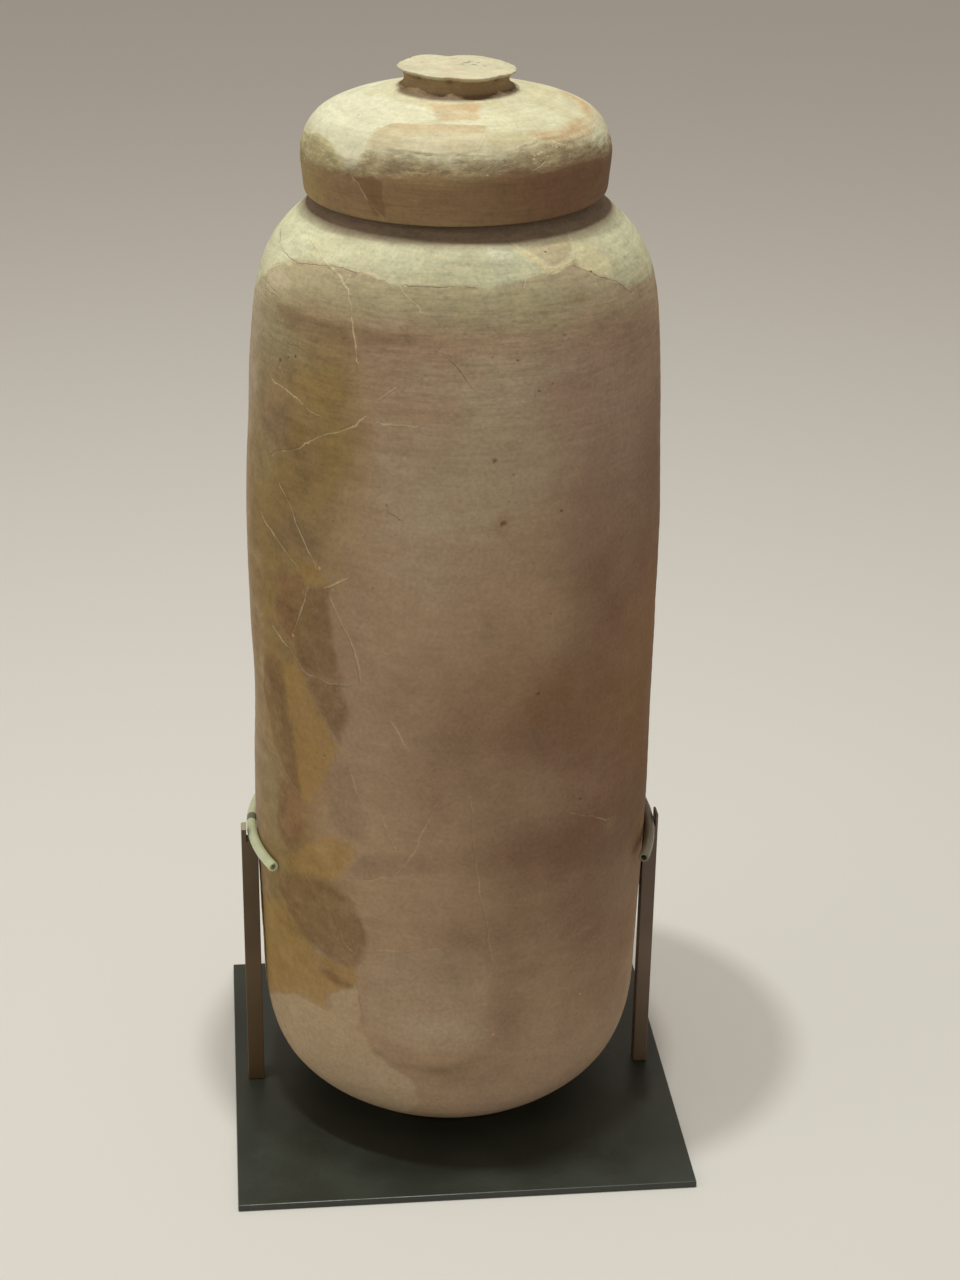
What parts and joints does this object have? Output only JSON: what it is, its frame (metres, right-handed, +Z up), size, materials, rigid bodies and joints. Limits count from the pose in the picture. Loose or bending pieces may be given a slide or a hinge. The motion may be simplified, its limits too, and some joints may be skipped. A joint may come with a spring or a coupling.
{
  "type": "scroll jar",
  "caption": "Tall cylindrical unglazed clay storage jar with a bowl-shaped knobbed lid, mended from sherds, held upright by a low metal cradle on a flat base plate.",
  "frame": {"origin": "middle of the base plate's underside, on the ground", "axes": "+Z up along the jar's height; +X to the right along the base plate's front edge; +Y towards the back"},
  "size_m": [0.3, 0.289, 0.7029],
  "materials": {
    "clay": "matt unglazed buff clay, brown and cream, with mended cracks",
    "lid clay": "matt unglazed cream clay",
    "plate paint": "satin dark grey-green paint",
    "post paint": "satin dark brown paint",
    "rod metal": "satin grey-green paint",
    "tubing": "smooth pale grey-green plastic"
  },
  "bodies": {
    "root": {"jar": "clay", "lid": "lid clay", "base_plate": "plate paint", "left_post": "post paint", "right_post": "post paint", "left_arm": "rod metal", "right_arm": "rod metal", "left_front_sleeve": "tubing", "left_rear_sleeve": "tubing", "right_front_sleeve": "tubing", "right_rear_sleeve": "tubing"}
  },
  "joints": []
}
